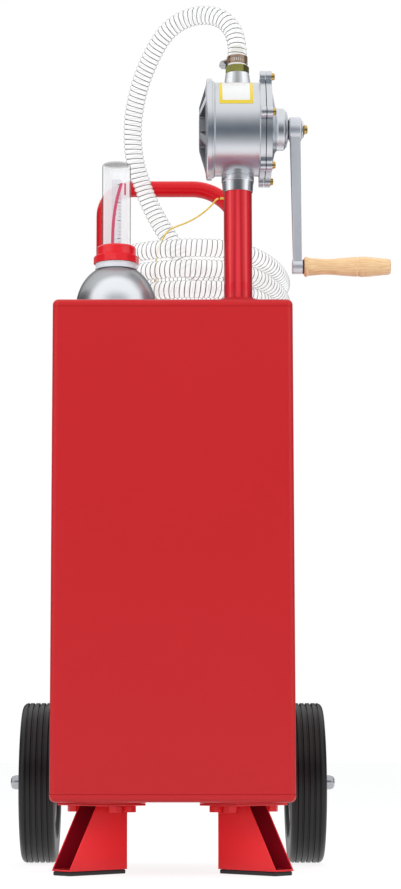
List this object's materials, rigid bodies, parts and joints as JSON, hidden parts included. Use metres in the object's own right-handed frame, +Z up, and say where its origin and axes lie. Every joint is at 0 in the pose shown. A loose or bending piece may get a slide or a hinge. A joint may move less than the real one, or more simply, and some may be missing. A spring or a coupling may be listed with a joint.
{
  "type": "fuel caddy",
  "caption": "Upright steel fuel caddy on wheels with a crank-driven rotary pump, coiled clear hose, level gauge, filler cap and push handle.",
  "frame": {"origin": "on the floor, under the middle of the caddy's footprint without its hose and wire", "axes": "+X across the caddy towards the crank grip, +Y from the tank's front face towards the push handle, +Z up"},
  "size_m": [0.5874, 0.573, 1.3072],
  "materials": {
    "red_paint": "gloss red enamel on steel",
    "silver_paint": "satin silver paint on a casting",
    "pump_inside": "machined",
    "steel": "bright zinc plate",
    "chrome": "polished",
    "brass": "turned brass",
    "barb_plate": "yellow zinc plate",
    "tyre": "black ribbed tyre",
    "pad_rubber": "black rubber",
    "gasket": "black seal",
    "black_plastic": "matt black moulding",
    "vane_plastic": "dark filled plastic",
    "pale_plastic": "white moulding",
    "red_plastic": "bright red moulding",
    "clear_tube": "clear tube",
    "clear_hose": "clear ribbed plastic hose",
    "wood": "lacquered beech",
    "wire_yellow": "green and yellow wire sleeve"
  },
  "bodies": {
    "tank": {"tank_wrapper": "red_paint", "tank_top_pan": "red_paint", "tank_bottom_pan": "red_paint", "filler_neck": "red_paint", "riser_collar": "red_paint", "riser_pipe": "red_paint", "suction_tube": "steel", "inlet_coupling": "silver_paint", "pump_end_cover": "silver_paint", "pump_body": "silver_paint", "cover_gasket": "gasket", "pump_cover": "silver_paint", "gland_nut": "silver_paint", "hose_barb": "barb_plate", "hose_clamp": "steel", "clamp_screw": "steel", "gauge_dome": "chrome", "gauge_neck": "pale_plastic", "gauge_stem": "steel", "gauge_tube": "clear_tube", "gauge_nut": "red_plastic", "gauge_scale": "pale_plastic", "push_handle": "red_paint", "handle_saddle_lower_left": "red_paint", "handle_saddle_lower_right": "red_paint", "handle_saddle_upper_left": "red_paint", "handle_saddle_upper_right": "red_paint", "axle": "steel", "axle_bracket_left": "red_paint", "axle_bracket_right": "red_paint", "axle_cap_left": "chrome", "axle_cap_right": "chrome", "foot_plate_left": "red_paint", "foot_plate_right": "red_paint", "foot_left": "red_paint", "foot_right": "red_paint", "foot_pad_left": "pad_rubber", "foot_pad_right": "pad_rubber", "hose_drop": "clear_hose", "hose_coil": "clear_hose", "hose_spout": "steel", "earth_wire": "wire_yellow"},
    "wheel_left": {"tyre_left": "tyre", "rim_left": "steel"},
    "wheel_right": {"tyre_right": "tyre", "rim_right": "steel"},
    "crank": {"pump_shaft": "steel", "pump_rotor": "pump_inside", "vane_a": "vane_plastic", "vane_b": "vane_plastic", "crank_arm": "silver_paint", "crank_washer": "steel", "crank_screw": "brass", "grip_pin": "steel"},
    "grip": {"crank_grip": "wood"},
    "cap_seal": {"cap_gasket": "gasket"},
    "cap": {"filler_cap": "black_plastic"},
    "float": {"float_arm": "steel", "float_ball": "black_plastic"},
    "indicator": {"gauge_pointer": "red_plastic"}
  },
  "joints": [
    {"name": "wheel_left_spin", "type": "hinge", "parent": "tank", "child": "wheel_left", "pos_m": [-0.24535, 0.1595, 0.127], "axis": [1, 0, 0], "continuous": true},
    {"name": "wheel_right_spin", "type": "hinge", "parent": "tank", "child": "wheel_right", "pos_m": [0.17965, 0.1595, 0.127], "axis": [1, 0, 0], "continuous": true},
    {"name": "crank_turn", "type": "hinge", "parent": "tank", "child": "crank", "pos_m": [0.1519, -0.1965, 1.108], "axis": [1, 0, 0], "continuous": true},
    {"name": "grip_spin", "type": "hinge", "parent": "crank", "child": "grip", "pos_m": [0.2284, -0.1965, 0.8965], "axis": [1, 0, 0], "continuous": true},
    {"name": "cap_lift", "type": "slide", "parent": "tank", "child": "cap_seal", "axis": [0, 0, 1], "range_m": [0, 0.09]},
    {"name": "cap_turn", "type": "hinge", "parent": "cap_seal", "child": "cap", "pos_m": [-0.16785, 0.0985, 0.845], "axis": [0, 0, 1], "continuous": true},
    {"name": "float_swing", "type": "hinge", "parent": "tank", "child": "float", "pos_m": [-0.1129, -0.2085, 0.46755], "axis": [1, 0, 0], "range_deg": [-44, 56]},
    {"name": "indicator_rise", "type": "slide", "parent": "tank", "child": "indicator", "axis": [0, 0, 1], "range_m": [-0.0222, 0.0282]}
  ],
  "couplings": [
    {"joint": "indicator_rise", "follows": "float_swing", "m_per_rad": 0.02865}
  ]
}
